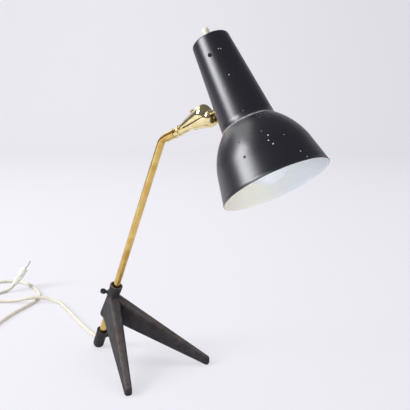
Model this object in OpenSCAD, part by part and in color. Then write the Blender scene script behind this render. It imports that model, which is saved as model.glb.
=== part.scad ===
// Table lamp on three points. A cast iron piece with two legs is clamped on a bent
// brass tube, and the tube's own foot is the third leg. The arm ends in a ball
// knuckle, split along its length, that carries a spun shade with a closed neck.
// Millimetres, +Z up. The origin is the middle of the small flat under the tube's
// foot, and +X points from there between the two cast legs.

/* [Stem and arm] */
// Outer diameter of the bent tube
tube_od = 10; // [9.6:0.1:10.4]
// Wall of the tube
tube_wall = 1; // [0.8:0.1:1.2]
// Lean of the stem away from upright, in degrees
stem_lean = 25.5; // [20:0.5:30]
// Length of the stem from the foot to where stem and arm would meet
stem_length = 362; // [300:1:420]
// Rise of the arm above the horizontal, in degrees
arm_rise = 21; // [10:1:35]
// Radius of the bend, on the middle line of the tube
bend_radius = 18; // [15:1:30]
// Distance of the ball's middle from where stem and arm would meet
ball_distance = 94.45; // [92:0.05:104]

/* [Foot of the tube] */
// Outer diameter of the foot ferrule
ferrule_od = 16.4; // [15.5:0.1:18]
// Diameter of the small flat that the ferrule stands on
ferrule_flat = 10; // [6:0.5:12]
// Length of the ferrule above the middle of its round end
ferrule_length = 26; // [22:0.5:32]
// Depth of the solid end below the tube
ferrule_floor = 2; // [1:0.5:4]

/* [Cast tripod] */
// Distance of the collar's mouth up the stem
collar_height = 115; // [105:1:130]
// Outer diameter of the collar at its mouth
collar_od = 19.2; // [18:0.1:20]
// Outer diameter of the collar where it meets the hub
collar_waist_od = 17.4; // [17:0.1:18.4]
// Outer diameter of the hub at its lower end
hub_od = 22.6; // [20:0.2:25]
// Distance of the hub's lower end up the stem
lip_height = 57; // [50:1:62]
// Reach of the leg tips in front of the origin
leg_reach = 169; // [140:1:190]
// Distance of each leg tip from the middle plane
leg_spread = 74.5; // [55:0.5:90]
// Thickness of a leg at the hub
leg_root_thickness = 19; // [14:0.5:22]
// Thickness of a leg at its tip
leg_tip_thickness = 10.5; // [9:0.5:14]
// Outer diameter of the brass liner in the collar
liner_od = 14.4; // [13.6:0.1:15]
// Length of the liner
liner_length = 50; // [40:1:60]

/* [Ball knuckle] */
// Diameter of the ball
ball_od = 15.6; // [15:0.2:16]
// Largest outer diameter of the knuckle's lower half
knuckle_od = 26.4; // [25:0.2:30]
// Diameter of the knuckle's waist
waist_od = 11.6; // [11:0.2:13]
// Largest outer diameter of the knuckle's upper half
hood_od = 25; // [23:0.2:26]
// Upward lean of the upper half, in degrees
hood_lean = 6; // [3:0.5:7]
// Length of the knuckle from the lock ring to the middle of the ball
knuckle_length = 64.4; // [63:0.1:66]
// Width of the slot between the two halves
slot_width = 1.6; // [0.8:0.1:2]
// Distance of the clamp screw from the lock ring
clamp_place = 39; // [37:1:41]
// Diameter of the clamp screw's thread
clamp_thread = 3; // [2.5:0.1:3]

/* [Ball stud] */
// Diameter of the stud's neck
stud_neck_od = 7; // [6.6:0.1:8]
// Diameter of the stud's thread
stud_thread = 6; // [5.6:0.1:6.4]
// Tilt of the shade away from upright, in degrees
head_tilt = 33.5; // [20:0.5:45]
// Distance of the shade's middle line from the middle of the ball
stud_reach = 51; // [50.6:0.1:54]
// Height of the stud above the rim, along the shade's middle line
stud_height = 119.3; // [116:0.1:123]

/* [Shade] */
// Radius of the rim
rim_radius = 65.3; // [62:0.1:70]
// Radius where the straight flare ends
flare_radius = 57.6; // [55:0.1:60]
// Height of the end of the flare above the rim
flare_height = 36; // [30:0.5:40]
// Radius of the crease between dome and neck
crease_radius = 33; // [32:0.1:35]
// Height of the crease above the rim
crease_height = 77.5; // [74:0.5:82]
// Radius of the closed end of the neck
top_radius = 23.2; // [22.5:0.1:26]
// Height of the closed end above the rim
top_height = 194; // [191:0.5:200]
// Thickness of the spun sheet
sheet = 1; // [0.8:0.1:1.2]
// Height of the two neck screws above the rim
neck_screw_height = 166.5; // [165:0.5:169]
// Direction of the first neck screw round the neck, in degrees
neck_screw_turn = -68; // [-80:1:-55]

/* [Lampholder and bulb] */
// Outer diameter of the lampholder
holder_od = 36; // [34:0.5:37]
// Diameter of the glass bulb
bulb_od = 60; // [55:1:64]
// Height of the middle of the bulb above the rim
bulb_height = 33; // [31:0.5:35]
// Outer diameter of the bulb's screw cap
cap_od = 26.4; // [26:0.1:26.6]

/* [Push button] */
// Diameter of the push button
button_od = 8.5; // [8:0.1:8.8]
// Height of the button's end above the closed neck
button_height = 16.5; // [14:0.5:22]
// Travel of the push button
button_travel = 3; // [2:0.5:3.5]

/* [Mains cord] */
// Diameter of the cord
cord_od = 6.5; // [6:0.1:7]
// Diameter of the coil at the middle of its turns
coil_diameter = 76; // [66:1:78]

/* [Hidden] */
$fn = 96;

// Clearances: a turning or sliding fit, a seat between fixed parts, a loose hole
running = 0.08;
seat = 0.05;
loose = 0.15;
// Length by which a cutting tool runs past the face that it opens
past = 1;
small_fn = 48;

// Stem, arm and foot
tube_r = tube_od / 2;
bore_r = tube_r - tube_wall;
ferrule_r = ferrule_od / 2;
foot_rise = sqrt(pow(ferrule_r, 2) - pow(ferrule_flat / 2, 2));
bend_angle = 90 - arm_rise - stem_lean;
bend_reach = bend_radius * tan(bend_angle / 2);
elbow = [stem_length * sin(stem_lean), 0, foot_rise + stem_length * cos(stem_lean)];
ball_at = elbow + ball_distance * [cos(arm_rise), 0, sin(arm_rise)];

// Along the arm, from where stem and arm would meet
ring_length = 2.5;
ring_end = ball_distance - knuckle_length;
ring_start = ring_end - ring_length;
sleeve_start = 9.7;
tube_end = ring_start - 3;
spigot_r = 4.6;
spigot_bore_r = 3.4;
spigot_length = 17;
flange_r = 5.2;
flange_length = 2.4;

// Casting: place where the collar begins, and the blades of the legs
collar_start = 99;
leg_lift = 1;
root_edge = 5;
tip_edge = 3.5;
tip_depth = 12.5;
tip_lap = 0.4;

// Thumbscrews: place along the stem, direction round it, 0 is the side away from the legs
collar_screw_place = 99.5;
collar_screw_turn = 55;
foot_screw_place = 12;
foot_screw_turn = -95;
thumb_shank_r = 2;
thumb_boss_r = 3.8;
thumb_boss = 1.4;
thumb_paddle_r = 4.3;
thumb_paddle_thickness = 3.6;

// Knuckle
knuckle_r = knuckle_od / 2;
hood_r = hood_od / 2;
ball_r = ball_od / 2;
bowl_back = 0.4;
mouth_past = 8.6;
hood_back = 8.5;
hood_end = 2.6;
waist_place = 28;
waist_r = waist_od / 2;
hood_waist_place = 14;
channel_r = 3.5;
relief_start = 3.6;
relief_r = 8.5;
relief_start_r = sqrt(pow(ball_r, 2) - pow(relief_start, 2));
shank_lip_place = 8;
shank_r = 6.3;
clamp_seat = 13.4;
clamp_head_r = 3.3;
clamp_head = 3.4;
nut_seat = 4.2;
nut_side = 5.5;
nut_height = 2;

// Shade, with heights along its own middle line from the plane of the rim. The dome's outline passes
// through a point given as shares of the way out to the flare and up to the crease.
neck_slope = (crease_radius - top_radius) / (top_height - crease_height);
top_edge = 3;
dome_out = 0.5284553;
dome_up = 0.626506;
dome_middle = [crease_radius + dome_out * (flare_radius - crease_radius),
    flare_height + dome_up * (crease_height - flare_height)];
screw_thread_r = 1.5;
screw_head_r = 2.4;

function neck_radius(l) = crease_radius - (l - crease_height) * neck_slope;

// Ball stud, distances from the middle of the ball
stud_wall = stud_reach - neck_radius(stud_height);
flange_place = stud_wall - 6.4;
saddle_place = stud_wall - 4.2;
inner_flat = stud_wall + 3.6;
stud_nut_height = 3;
stud_nut_across = 10;
stud_flange = 1.6;
stud_bore_r = 2.2;
stud_end = stud_wall + 7.6;
saddle_r = 6.5;

// Middle of the circle through three points of a plane
function circle_middle(a, b, c) =
    let (d = 2 * (a.x * (b.y - c.y) + b.x * (c.y - a.y) + c.x * (a.y - b.y)))
    [((a * a) * (b.y - c.y) + (b * b) * (c.y - a.y) + (c * c) * (a.y - b.y)) / d,
        ((a * a) * (c.x - b.x) + (b * b) * (a.x - c.x) + (c * c) * (b.x - a.x)) / d];

dome_centre = circle_middle([crease_radius, crease_height], dome_middle, [flare_radius, flare_height]);
dome_arc = norm([crease_radius, crease_height] - dome_centre);

// Lampholder and bulb, heights above the rim
skirt_start = 84;
skirt_end = 118;
cap_end = 150;
holder_r = holder_od / 2;
holder_wall = 2;
cap_boss_r = 8;
bridge_start = 151.5;
bridge_sheet = 1.6;
bridge_width = 11;
tab_length = 18;
nipple_r = 5;
nipple_wall = 1.4;
nipple_nut_across = 14;
nipple_nut_height = 3;
nipple_start = 142;
nipple_end = 163;
shell_r = cap_od / 2 + 0.9;
glass_cone = 25;
glass_end_r = 13.5;
bulb_cap_start = 84;
bulb_cap_end = 106;
contact_place = 110.5;
core_start = 113.5;
core_height = 12;

// Switch
switch_r = 12;
switch_start = 173;
switch_end = top_height - sheet - loose;
switch_neck_r = 5;
switch_nut_r = 7.2;
switch_nut_height = 2.6;
switch_neck_end = top_height + 4;
button_start = top_height + 1;

// Wires
wire_r = 0.7;
wire_apart = 2.5;
wire_joint = 29;
stud_wire_apart = 1.1;

// Cord
cord_r = cord_od / 2;
cord_sides = 10;
coil_r = coil_diameter / 2;
coil_at = [-385, -75, 0];
gland_turn = 25;
gland_fall = 18;
gland_height = 15.5;
gland_length = 20;
gland_r = 4.3;
plug_length = 34;
pin_length = 19;
pin_apart = 18.6;

gland_from = [(gland_height - foot_rise) * tan(stem_lean), 0, gland_height];
gland_way = [-cos(gland_turn) * cos(gland_fall), sin(gland_turn) * cos(gland_fall), -sin(gland_fall)];
gland_end = gland_from + (ferrule_r + gland_length) * gland_way;

// Route of the cord on the table, chosen by hand: out of the foot, across to the left,
// over its own loop, round behind and back through the loop to the coil
cord_points = [gland_end + seat * 4 * gland_way, [-27.8, 15, 4.1], [-38, 18.2, 3.4], [-52, 21.5, 3.27],
    [-71, 26, cord_r], [-91, 31.5, cord_r], [-113, 38, cord_r], [-140, 46.7, cord_r], [-166, 55, cord_r],
    [-188, 61, cord_r],
    [-212, 67, 3.5], [-229, 63, 5.4], [-242, 53.5, 8.6], [-252.5, 42, 10.1], [-262, 30, 8.8],
    [-272, 19, 6], [-284, 7, 3.8], [-299, -8, 3.3], [-312, -28, cord_r], [-318, -53, cord_r],
    [-313, -80, cord_r], [-298, -103, cord_r], [-274, -121, cord_r], [-246, -134, cord_r],
    [-214, -139, cord_r], [-195, -133.5, cord_r], [-181.6, -119, cord_r], [-178, -99, cord_r],
    [-183.5, -81, cord_r], [-197, -61, cord_r],
    [-209, -42, cord_r], [-221, -22, cord_r], [-232, 0, cord_r], [-242, 21, cord_r], [-253, 42, cord_r],
    [-269, 59, cord_r], [-290, 71, cord_r], [-315, 79, cord_r], [-341, 84, cord_r], [-368, 85, cord_r],
    [-393, 75, cord_r], [-410, 54, cord_r], [-419, 29, cord_r], [-424, 2, cord_r], [-426, -24, cord_r],
    [-426.5, -48, cord_r], [-426.5, -68, cord_r]];
plug_foot = [-345, 50, 13.4];
plug_way = [-0.03, 0.7, 0.713];
plug_points = [[-347, -67, 8.8], [-347, -52, 7.4], [-346, -37, 5], [-345, -21, 3.6], [-344, -7, 3.3],
    [-344, 5, cord_r], [-344.2, 16, cord_r], [-344.3, 25.7, 3.3], [-344.5, 32.4, 3.9],
    [-344.7, 38.9, 5.9], [-344.9, 44.8, 9.1], plug_foot];

// Point of a smooth curve between b and c, with a and d as its neighbours
function between(a, b, c, d, t) = 0.5 * (2 * b + (c - a) * t + (2 * a - 5 * b + 4 * c - d) * t * t
    + (3 * b - a - 3 * c + d) * t * t * t);

function smooth_route(p, steps) = [for (i = [0 : len(p) - 2]) for (k = [0 : steps - 1])
        between(p[max(i - 1, 0)], p[i], p[i + 1], p[min(i + 2, len(p) - 1)], k / steps), p[len(p) - 1]];

function unit(a) = a / norm(a);

// Frames
module on_stem(s = 0) {
    translate([0, 0, foot_rise]) rotate([0, stem_lean, 0]) translate([0, 0, s]) children();
}

module on_arm(t = 0) {
    translate(elbow) rotate([0, 90 - arm_rise, 0]) translate([0, 0, t]) children();
}

// Middle of the ball, +X along the stud and +Z along the shade's middle line
module on_head() {
    translate(ball_at) rotate([0, -head_tilt, 0]) children();
}

// Height l above the rim, on the shade's middle line
module on_shade(l = 0) {
    on_head() translate([stud_reach, 0, l - stud_height]) children();
}

// Distance x from the middle of the ball, +Z along the stud
module on_stud(x = 0) {
    on_head() rotate([0, 90, 0]) translate([0, 0, x]) children();
}

// A thumbscrew's own frame: +Z points outwards from the stem's middle line
module on_screw(place, turn) {
    on_stem(place) rotate([0, 0, 180 + turn]) rotate([0, 90, 0]) children();
}

module tube(r, hole, h) {
    difference() {
        cylinder(r = r, h = h);
        if (hole > 0) translate([0, 0, -past]) cylinder(r = hole, h = h + 2 * past);
    }
}

module ring(r, hole) {
    difference() {
        circle(r = r);
        if (hole > 0) circle(r = hole);
    }
}

// Straight round rod from p to q
module rod(p, q, r) {
    d = q - p;
    translate(p) rotate([0, acos(d.z / norm(d)), atan2(d.y, d.x)])
        cylinder(r = r, h = norm(d), $fn = small_fn);
}

// Rod with round joints along a list of points
module bent_rod(points, r) {
    for (i = [0 : len(points) - 2]) rod(points[i], points[i + 1], r);
    for (i = [1 : len(points) - 2]) translate(points[i]) sphere(r = r * 1.06, $fn = small_fn);
}

// Tube swept along a list of points, one ring of corners at each of them
module sweep(p, r) {
    n = len(p);
    rings = [for (i = [0 : n - 1])
        let (t = unit(p[min(i + 1, n - 1)] - p[max(i - 1, 0)]))
        let (side = unit(cross(t, [0, 0, 1])))
        let (up = cross(side, t))
        for (k = [0 : cord_sides - 1])
            p[i] + r * (cos(360 * k / cord_sides) * side + sin(360 * k / cord_sides) * up)];
    walls = [for (i = [0 : n - 2]) for (k = [0 : cord_sides - 1])
        let (a = i * cord_sides + k)
        let (b = i * cord_sides + (k + 1) % cord_sides)
        each [[a, b, a + cord_sides], [b, b + cord_sides, a + cord_sides]]];
    first = [[for (k = [cord_sides - 1 : -1 : 0]) k]];
    last = [[for (k = [0 : cord_sides - 1]) (n - 1) * cord_sides + k]];
    polyhedron(points = rings, faces = concat(walls, first, last));
}

// Round rod or tube along the bent middle line, from s on the stem to t on the arm.
// The bend is a hair wider than the straights, whose ends lap into it.
module bent_line(r, hole, s, t, aside = 0) {
    straight = stem_length - bend_reach - s;
    swell = 0.02;
    lap = 0.3;
    on_stem(stem_length - bend_reach) translate([bend_radius, aside, 0]) {
        translate([-bend_radius, 0, -straight]) tube(r, hole, straight + lap);
        rotate([90, 0, 0]) rotate([0, 0, 180 - bend_angle]) rotate_extrude(angle = bend_angle)
            translate([bend_radius, 0]) ring(r + swell, max(hole - swell, 0));
        rotate([0, bend_angle, 0]) translate([-bend_radius, 0, -lap]) tube(r, hole, t - bend_reach + lap);
    }
}

// Bent brass tube, with a side hole for the wires behind the ferrule's cord entry
module stem_tube() {
    color([0.83, 0.66, 0.33]) difference() {
        bent_line(tube_r, bore_r, ferrule_floor, tube_end);
        rod(gland_from, gland_from + tube_od * gland_way, cord_r - past);
    }
}

// Cup on the tube's lower end, with a round end that stands on a small flat
module foot_ferrule() {
    lip = 4;
    color([0.07, 0.07, 0.07]) difference() {
        union() {
            on_stem() sphere(r = ferrule_r);
            on_stem() cylinder(r = ferrule_r, h = ferrule_length - lip);
            on_stem(ferrule_length - lip) cylinder(r1 = ferrule_r, r2 = ferrule_r + seat * 8, h = lip);
            on_screw(foot_screw_place, foot_screw_turn)
                cylinder(r = thumb_boss_r, h = ferrule_r + thumb_boss);
        }
        on_stem(ferrule_floor - seat) cylinder(r = tube_r + seat, h = ferrule_length + past);
        on_screw(foot_screw_place, foot_screw_turn)
            cylinder(r = thumb_shank_r + running, h = 2 * ferrule_r);
        rod(gland_from, gland_from + 2 * ferrule_r * gland_way, gland_r + seat);
        translate([-ferrule_od, -ferrule_od, -ferrule_od])
            cube([2 * ferrule_od, 2 * ferrule_od, ferrule_od]);
    }
}

// Flat-headed thumbscrew from its point to the rounded head
module thumbscrew(start, shoulder) {
    neck = 3;
    translate([0, 0, start]) cylinder(r = thumb_shank_r, h = shoulder - start + neck, $fn = small_fn);
    translate([0, 0, shoulder]) cylinder(r1 = thumb_shank_r * 1.5, r2 = thumb_shank_r * 1.1, h = neck / 2,
        $fn = small_fn);
    translate([-thumb_paddle_thickness / 2, 0, shoulder + neck + thumb_paddle_r * 0.7]) rotate([0, 90, 0])
        cylinder(r = thumb_paddle_r, h = thumb_paddle_thickness);
}

module foot_thumbscrew() {
    color([0.08, 0.08, 0.08]) on_screw(foot_screw_place, foot_screw_turn)
        thumbscrew(tube_r + loose, ferrule_r + thumb_boss + loose);
}

module collar_thumbscrew() {
    color([0.08, 0.08, 0.08]) on_screw(collar_screw_place, collar_screw_turn)
        thumbscrew(liner_od / 2 + loose * 2, collar_od / 2 + thumb_boss / 2 + loose);
}

// Small round corners of one end of a leg, as seen along the leg
module leg_end(thickness, depth, edge) {
    for (y = [-1, 1]) for (z = [0, 1])
        translate([0, y * (thickness / 2 - edge), edge + z * (depth - 2 * edge)]) sphere(r = edge, $fn = 28);
}

// One blade-like leg, deep at the hub and slim at its tip
module leg(side) {
    root_x = (lip_height + collar_start) / 2 * sin(stem_lean);
    way = atan2(side * leg_spread, leg_reach - root_x);
    root_depth = collar_start - lip_height - leg_lift;
    hull() {
        on_stem(lip_height) rotate([0, 0, way]) translate([leg_lift, 0, 0])
            leg_end(leg_root_thickness, root_depth, root_edge);
        translate([leg_reach, side * leg_spread, 0]) rotate([0, 0, way]) translate([-tip_edge, 0, -tip_lap])
            leg_end(leg_tip_thickness, tip_depth, tip_edge);
    }
}

// Cast collar and hub with two legs, bored for the liner
module tripod_casting() {
    color([0.1, 0.1, 0.1]) difference() {
        union() {
            on_stem(collar_start)
                cylinder(r1 = collar_waist_od / 2, r2 = collar_od / 2, h = collar_height - collar_start);
            on_stem(lip_height)
                cylinder(r1 = hub_od / 2, r2 = collar_waist_od / 2, h = collar_start - lip_height);
            on_screw(collar_screw_place, collar_screw_turn)
                cylinder(r = thumb_boss_r, h = collar_od / 2 + thumb_boss / 2);
            leg(1);
            leg(-1);
        }
        on_stem(lip_height - hub_od) cylinder(r = liner_od / 2 + running, h = collar_height);
        on_screw(collar_screw_place, collar_screw_turn)
            cylinder(r = thumb_shank_r + running, h = hub_od);
        translate([-leg_reach, -leg_reach, -ferrule_od])
            cube([3 * leg_reach, 2 * leg_reach, ferrule_od]);
    }
}

// Brass liner that grips the tube inside the collar
module collar_liner() {
    mouth_depth = 3;
    color([0.8, 0.62, 0.3]) on_stem(collar_height - mouth_depth - liner_length)
        tube(liner_od / 2, tube_r + running, liner_length);
}

// Sleeve on the arm with the spigot that the knuckle turns on
module arm_sleeve() {
    sleeve_r = tube_r + 1.1;
    color([0.83, 0.66, 0.33]) difference() {
        union() {
            on_arm(sleeve_start) cylinder(r = sleeve_r, h = ring_start - sleeve_start);
            on_arm(ring_start) cylinder(r = spigot_r, h = ring_length + spigot_length);
            on_arm(ring_end + spigot_length) cylinder(r = flange_r, h = flange_length);
        }
        on_arm(sleeve_start - past) cylinder(r = tube_r + seat, h = tube_end - sleeve_start + past);
        on_arm(tube_end - past) cylinder(r = spigot_bore_r, h = ball_distance);
    }
}

module lock_ring() {
    edge = 0.5;
    ring_r = 6.6;
    color([0.8, 0.62, 0.3]) on_arm(ring_start + seat) difference() {
        union() {
            cylinder(r1 = ring_r - edge, r2 = ring_r, h = edge);
            translate([0, 0, edge]) cylinder(r = ring_r, h = ring_length - 2 * edge - loose);
            translate([0, 0, ring_length - edge - loose])
                cylinder(r1 = ring_r, r2 = ring_r - edge, h = edge);
        }
        translate([0, 0, -past]) cylinder(r = spigot_r + seat, h = ring_length + 2 * past);
    }
}

// Shank and bowl turned from one profile: the cone touches the round bowl without a break
module turned_outside(start, start_r, bowl_place, bowl_r, mouth) {
    way = [bowl_place - start, -start_r];
    lean = atan2(way.y, way.x) + asin(bowl_r / norm(way));
    flare = sqrt(way * way - pow(bowl_r, 2)) * [cos(lean), sin(lean)];
    translate([0, 0, start]) cylinder(r1 = start_r, r2 = start_r + flare.y, h = flare.x);
    intersection() {
        translate([0, 0, bowl_place]) sphere(r = bowl_r);
        translate([0, 0, start + flare.x]) cylinder(r = 2 * bowl_r, h = mouth - start - flare.x);
    }
}

// Plain shank with a rounded lip, before it widens
module shank() {
    lip_r = 1.6;
    lip_out = 0.9;
    cylinder(r = shank_r, h = shank_lip_place);
    translate([0, 0, shank_lip_place]) {
        rotate_extrude() translate([shank_r - lip_r + lip_out, 0]) circle(r = lip_r);
        cylinder(r1 = shank_r, r2 = waist_r, h = waist_place - shank_lip_place);
    }
}

// Spigot bearing, wire channel, ball seat and the wide mouth in which the stud's neck swings
module knuckle_bores() {
    translate([0, 0, -past]) cylinder(r = spigot_r + running, h = spigot_length + past);
    translate([0, 0, spigot_length - running])
        cylinder(r = flange_r + running, h = flange_length + 2 * running);
    translate([0, 0, spigot_length]) cylinder(r = channel_r, h = knuckle_length - spigot_length);
    translate([0, 0, knuckle_length]) sphere(r = ball_r + running);
    translate([0, 0, knuckle_length + relief_start]) cylinder(r1 = relief_start_r, r2 = relief_r,
        h = mouth_past - relief_start);
    translate([0, 0, knuckle_length + mouth_past]) cylinder(r = relief_r, h = past);
}

// Upper half: it leans upwards and widens to a hood over the back of the ball
module knuckle_upper() {
    color([0.84, 0.68, 0.36]) on_arm(ring_end) difference() {
        union() {
            shank();
            rotate([0, -hood_lean, 0]) turned_outside(hood_waist_place, waist_r,
                knuckle_length - hood_back, hood_r, knuckle_length - hood_end);
        }
        knuckle_bores();
        translate([-slot_width / 2, -knuckle_od, -past])
            cube([knuckle_od, 2 * knuckle_od, 2 * knuckle_length]);
        translate([0, 0, clamp_place]) rotate([0, -90, 0])
            cylinder(r = clamp_thread / 2 + loose, h = knuckle_od);
        translate([-clamp_seat, 0, clamp_place]) rotate([0, -90, 0])
            cylinder(r = clamp_head_r + 2 * loose, h = knuckle_od);
    }
}

// Lower half: a bowl round the ball whose edge keeps the ball in
module knuckle_lower() {
    color([0.84, 0.68, 0.36]) on_arm(ring_end) difference() {
        union() {
            shank();
            turned_outside(waist_place, waist_r, knuckle_length - bowl_back, knuckle_r,
                knuckle_length + mouth_past);
        }
        knuckle_bores();
        translate([-knuckle_od + slot_width / 2, -knuckle_od, -past])
            cube([knuckle_od, 2 * knuckle_od, 2 * knuckle_length]);
        translate([0, 0, clamp_place]) rotate([0, 90, 0])
            cylinder(r = clamp_thread / 2 + loose, h = knuckle_od);
        translate([nut_seat, -nut_side / 2 - seat, clamp_place - nut_side / 2 - seat])
            cube([knuckle_od, nut_side + 2 * seat, nut_side + 2 * seat]);
    }
}

// Slotted cheese-head screw through both halves
module clamp_screw() {
    slot = 0.9;
    slot_depth = 1.1;
    color([0.75, 0.58, 0.28]) on_arm(ring_end + clamp_place) difference() {
        union() {
            translate([-clamp_seat - loose, 0, 0]) rotate([0, -90, 0])
                cylinder(r = clamp_head_r, h = clamp_head);
            translate([-clamp_seat - loose, 0, 0]) rotate([0, 90, 0])
                cylinder(r = clamp_thread / 2, h = clamp_seat + nut_seat + nut_height);
        }
        translate([-clamp_seat - clamp_head - past, -clamp_head_r - past, -slot / 2])
            cube([slot_depth + past, 2 * clamp_head_r + 2 * past, slot]);
    }
}

module clamp_nut() {
    color([0.75, 0.58, 0.28]) on_arm(ring_end + clamp_place) difference() {
        translate([nut_seat + seat, -nut_side / 2, -nut_side / 2]) cube([nut_height, nut_side, nut_side]);
        rotate([0, 90, 0]) cylinder(r = clamp_thread / 2 + seat, h = knuckle_od);
    }
}

// Ball with its neck, a flange and the thread that goes through the shade
module ball_stud() {
    color([0.86, 0.7, 0.4]) difference() {
        union() {
            on_stud() sphere(r = ball_r);
            on_stud() cylinder(r = stud_neck_od / 2, h = flange_place);
            on_stud(flange_place)
                cylinder(r = stud_neck_od / 2 + stud_flange, h = saddle_place - seat - flange_place);
            on_stud(flange_place) cylinder(r = stud_thread / 2, h = stud_end - flange_place);
        }
        on_stud(-ball_od) cylinder(r = stud_bore_r, h = stud_reach + ball_od);
    }
}

// Cone of the neck from the crease to the closed end, moved inwards by an inset
module neck_cone(inset) {
    on_shade(crease_height) cylinder(r1 = crease_radius - inset, r2 = top_radius - inset,
        h = top_height - crease_height);
}

// Washer with one flat face and one that follows the outside of the neck
module stud_saddle() {
    color([0.83, 0.66, 0.33]) difference() {
        on_stud(saddle_place) cylinder(r = saddle_r, h = stud_reach - saddle_place);
        on_stud(saddle_place - past) cylinder(r = stud_thread / 2 + running, h = stud_reach);
        neck_cone(-seat);
        on_stud(stud_reach / 2) cylinder(r = 2 * holder_od, h = stud_reach);
    }
}

module inner_saddle() {
    color([0.7, 0.7, 0.7]) difference() {
        intersection() {
            on_stud() cylinder(r = saddle_r, h = inner_flat);
            neck_cone(sheet + seat);
        }
        on_stud(-past) cylinder(r = stud_thread / 2 + running, h = stud_reach);
    }
}

module hex_nut(across, thread_r, h) {
    difference() {
        cylinder(d = across / cos(30), h = h, $fn = 6);
        translate([0, 0, -past]) cylinder(r = thread_r + seat, h = h + 2 * past);
    }
}

module stud_nut() {
    color([0.7, 0.7, 0.7]) on_stud(inner_flat + seat) 
        hex_nut(stud_nut_across, stud_thread / 2, stud_nut_height);
}

// Half section of the shade's outside, or of its inside with an inset
module shade_section(inset) {
    rim_edge = inset > 0 ? -past : 0;
    rim_slope = (rim_radius - flare_radius) / flare_height;
    end_radius = neck_radius(top_height - top_edge);
    polygon([[0, rim_edge], [rim_radius - inset - rim_edge * rim_slope, rim_edge],
        [flare_radius - inset, flare_height], [0, flare_height]]);
    intersection() {
        translate(dome_centre) circle(r = dome_arc - inset, $fn = 4 * $fn);
        translate([0, flare_height]) square([rim_radius, crease_height - flare_height]);
    }
    polygon([[0, crease_height], [crease_radius - inset, crease_height],
        [end_radius - inset, top_height - top_edge], [0, top_height - top_edge]]);
    translate([0, top_height - top_edge]) square([end_radius - top_edge, top_edge - inset]);
    intersection() {
        translate([end_radius - top_edge, top_height - top_edge]) circle(r = top_edge - inset);
        translate([0, top_height - top_edge]) square([top_radius * 2, top_edge]);
    }
}

// Spun shade: flared rim, dome, crease and long closed neck
module shade() {
    color([0.05, 0.05, 0.06]) difference() {
        on_shade() rotate_extrude() difference() {
            shade_section(0);
            shade_section(sheet);
        }
        on_stud() cylinder(r = stud_thread / 2 + loose, h = stud_reach);
        on_shade(top_height - 2 * sheet) cylinder(r = switch_neck_r + loose, h = 4 * sheet);
        for (a = [0, 180]) on_shade(neck_screw_height) rotate([0, 0, neck_screw_turn + a]) rotate([0, 90, 0])
            cylinder(r = screw_thread_r + loose, h = crease_radius, $fn = small_fn);
    }
}

// Two small screws that hold the bridge in the neck
module neck_screws() {
    head_at = neck_radius(neck_screw_height) + 0.25;
    thread = 6;
    head = 1;
    color([0.06, 0.06, 0.06]) for (a = [0, 180])
        on_shade(neck_screw_height) rotate([0, 0, neck_screw_turn + a]) rotate([0, 90, 0]) {
            translate([0, 0, head_at - thread]) cylinder(r = screw_thread_r, h = thread, $fn = small_fn);
            translate([0, 0, head_at])
                cylinder(r1 = screw_head_r, r2 = screw_head_r - head / 2, h = head, $fn = small_fn);
        }
}

// Strap across the neck with two turned-up tabs that lean with the neck
module holder_bridge() {
    foot_r = neck_radius(bridge_start) - sheet - 1;
    tip_r = foot_r - tab_length * neck_slope;
    half = [[0, 0], [foot_r, 0], [tip_r, tab_length], [tip_r - bridge_sheet, tab_length],
        [foot_r - bridge_sheet, bridge_sheet], [0, bridge_sheet]];
    color([0.72, 0.72, 0.7]) on_shade(bridge_start) rotate([0, 0, neck_screw_turn]) difference() {
        translate([0, bridge_width / 2, 0]) rotate([90, 0, 0]) linear_extrude(bridge_width)
            polygon(concat(half, [for (i = [len(half) - 2 : -1 : 1]) [-half[i].x, half[i].y]]));
        translate([0, 0, -past]) cylinder(r = nipple_r + loose, h = bridge_sheet + 2 * past);
        translate([-crease_radius, 0, neck_screw_height - bridge_start]) rotate([0, 90, 0])
            cylinder(r = screw_thread_r + seat, h = 2 * crease_radius, $fn = small_fn);
    }
}

module holder_nipple() {
    color([0.7, 0.7, 0.68]) on_shade(nipple_start) tube(nipple_r, nipple_r - nipple_wall,
        nipple_end - nipple_start);
}

module holder_nut() {
    color([0.7, 0.7, 0.68]) on_shade(bridge_start + bridge_sheet + seat)
        hex_nut(nipple_nut_across, nipple_r, nipple_nut_height);
}

// Domed upper half of the lampholder, with the boss for the nipple
module lampholder_cap() {
    shoulder = 9;
    color([0.08, 0.07, 0.06]) on_shade(skirt_end + seat) difference() {
        union() {
            cylinder(r = holder_r, h = cap_end - skirt_end - shoulder);
            translate([0, 0, cap_end - skirt_end - shoulder])
                cylinder(r1 = holder_r, r2 = cap_boss_r, h = shoulder);
        }
        translate([0, 0, -past]) cylinder(r = holder_r - holder_wall, h = cap_end - skirt_end - shoulder);
        cylinder(r = nipple_r + seat, h = cap_end);
    }
}

// Lower ring of the lampholder, ribbed for the fingers
module lampholder_skirt() {
    ribs = 24;
    rib_r = 0.9;
    rib_out = 0.4;
    rib_start = 6;
    rib_end = 28;
    color([0.08, 0.07, 0.06]) on_shade(skirt_start) difference() {
        cylinder(r = holder_r, h = skirt_end - skirt_start);
        translate([0, 0, -past])
            cylinder(r = holder_r - holder_wall, h = skirt_end - skirt_start + 2 * past);
        for (i = [0 : ribs - 1]) rotate([0, 0, 360 * i / ribs]) translate([holder_r + rib_out, 0, rib_start])
            cylinder(r = rib_r, h = rib_end - rib_start, $fn = 12);
    }
}

// Ceramic disc that carries the screw shell and the contacts
module lampholder_core() {
    hole_apart = 9;
    hole_r = 1.7;
    color([0.92, 0.91, 0.88]) on_shade(core_start) difference() {
        cylinder(r = holder_r - holder_wall - loose, h = core_height);
        for (y = [-1, 1]) translate([0, y * hole_apart, -past])
            cylinder(r = hole_r, h = core_height + 2 * past, $fn = small_fn);
    }
}

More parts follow.
